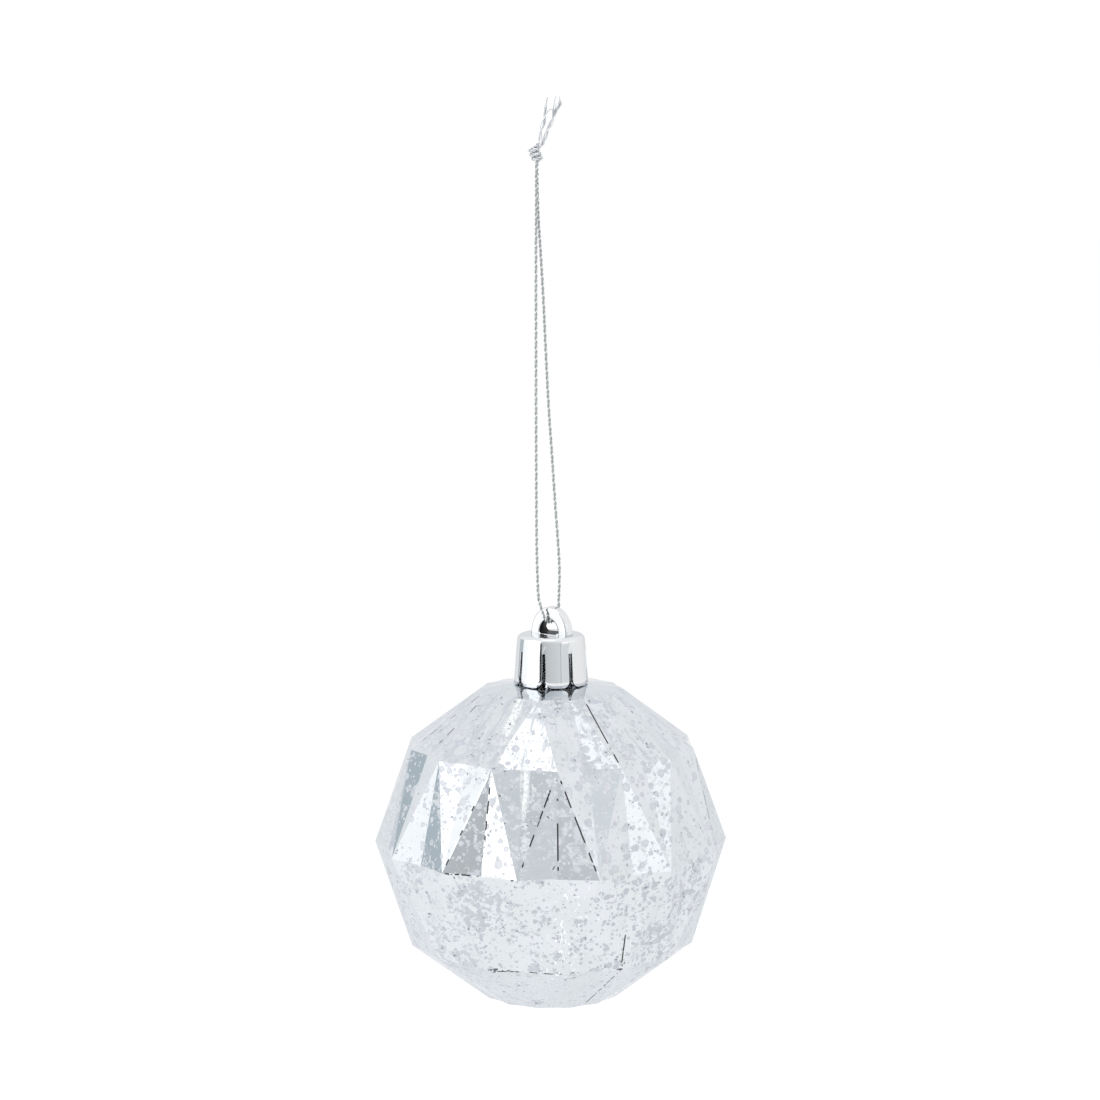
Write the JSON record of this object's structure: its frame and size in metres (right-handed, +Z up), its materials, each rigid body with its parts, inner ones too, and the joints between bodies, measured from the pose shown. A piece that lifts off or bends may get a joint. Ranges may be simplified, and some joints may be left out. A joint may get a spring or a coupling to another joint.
{
  "type": "glass ball ornament",
  "caption": "Faceted silvered ball ornament with a slotted push-on metallised cap and eye, hanging from a long loop of thin metallic cord tied in a knot.",
  "frame": {"origin": "the hang point: the top of the cord loop, right under the knot", "axes": "+Z up along the hanging cord, -Y towards the viewer, +X to the viewer's right"},
  "size_m": [0.08, 0.0786, 0.2022],
  "materials": {
    "silvered_shell": "clear faceted shell, silvered inside with a mottled and speckled mirror coat",
    "bright_plating": "moulded and vacuum metallised, mirror bright",
    "silver_cord": "two-ply twisted metallic thread, dull silver with dark grooves"
  },
  "bodies": {
    "cord": {"cord_loop": "silver_cord", "cord_knot": "silver_cord", "cord_tail_left": "silver_cord", "cord_tail_right": "silver_cord"},
    "cap": {"cap": "bright_plating"},
    "ball": {"ball_shell": "silvered_shell"}
  },
  "joints": [
    {"name": "ball_swing", "type": "hinge", "parent": "cord", "child": "cap", "pos_m": [0.003, 0, -0.1027], "axis": [0.5664, 0.8241, 0], "range_deg": [-75, 75]},
    {"name": "cap_pull", "type": "slide", "parent": "cap", "child": "ball", "axis": [0, 0, -1], "range_m": [0, 0.0105]}
  ]
}
